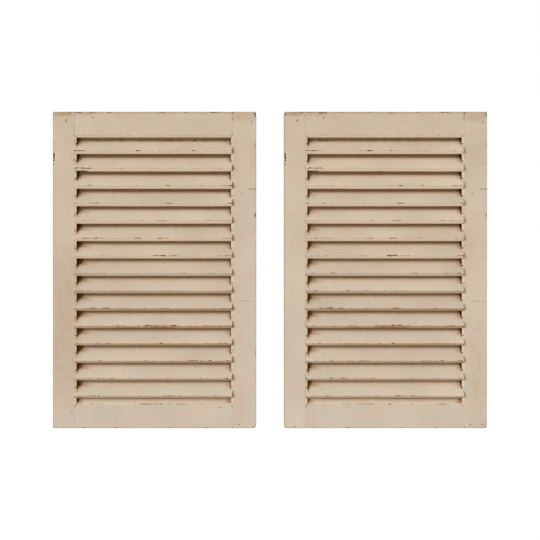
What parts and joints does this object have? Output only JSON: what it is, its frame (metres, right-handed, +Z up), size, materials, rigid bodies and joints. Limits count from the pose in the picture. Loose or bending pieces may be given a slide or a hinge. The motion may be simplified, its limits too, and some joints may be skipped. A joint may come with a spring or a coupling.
{
  "type": "pair of louvred shutters",
  "caption": "Matching pair of painted wooden louvred shutters: mortised and tenoned frames with fixed, slanted slats whose noses stand proud of the front.",
  "frame": {"origin": "middle of the pair, at the level of the bottom edges, half way through the depth over the noses", "axes": "+X to the right seen from the front, +Y from the front towards the back, +Z up"},
  "size_m": [0.855, 0.0336, 0.623],
  "materials": {
    "frame_paint": "old cream paint, matt",
    "slat_paint": "old cream paint, matt",
    "wedge_wood": "sawn end grain, painted over",
    "brad_iron": "rusted"
  },
  "bodies": {
    "root": {"left_shutter_left_stile": "frame_paint", "left_shutter_right_stile": "frame_paint", "left_shutter_top_rail": "frame_paint", "left_shutter_bottom_rail": "frame_paint", "left_shutter_slat_01": "slat_paint", "left_shutter_slat_02": "slat_paint", "left_shutter_slat_03": "slat_paint", "left_shutter_slat_04": "slat_paint", "left_shutter_slat_05": "slat_paint", "left_shutter_slat_06": "slat_paint", "left_shutter_slat_07": "slat_paint", "left_shutter_slat_08": "slat_paint", "left_shutter_slat_09": "slat_paint", "left_shutter_slat_10": "slat_paint", "left_shutter_slat_11": "slat_paint", "left_shutter_slat_12": "slat_paint", "left_shutter_slat_13": "slat_paint", "left_shutter_slat_14": "slat_paint", "left_shutter_slat_15": "slat_paint", "left_shutter_tenon_wedges": "wedge_wood", "left_shutter_slat_brads": "brad_iron", "right_shutter_left_stile": "frame_paint", "right_shutter_right_stile": "frame_paint", "right_shutter_top_rail": "frame_paint", "right_shutter_bottom_rail": "frame_paint", "right_shutter_slat_01": "slat_paint", "right_shutter_slat_02": "slat_paint", "right_shutter_slat_03": "slat_paint", "right_shutter_slat_04": "slat_paint", "right_shutter_slat_05": "slat_paint", "right_shutter_slat_06": "slat_paint", "right_shutter_slat_07": "slat_paint", "right_shutter_slat_08": "slat_paint", "right_shutter_slat_09": "slat_paint", "right_shutter_slat_10": "slat_paint", "right_shutter_slat_11": "slat_paint", "right_shutter_slat_12": "slat_paint", "right_shutter_slat_13": "slat_paint", "right_shutter_slat_14": "slat_paint", "right_shutter_slat_15": "slat_paint", "right_shutter_tenon_wedges": "wedge_wood", "right_shutter_slat_brads": "brad_iron"}
  },
  "joints": []
}
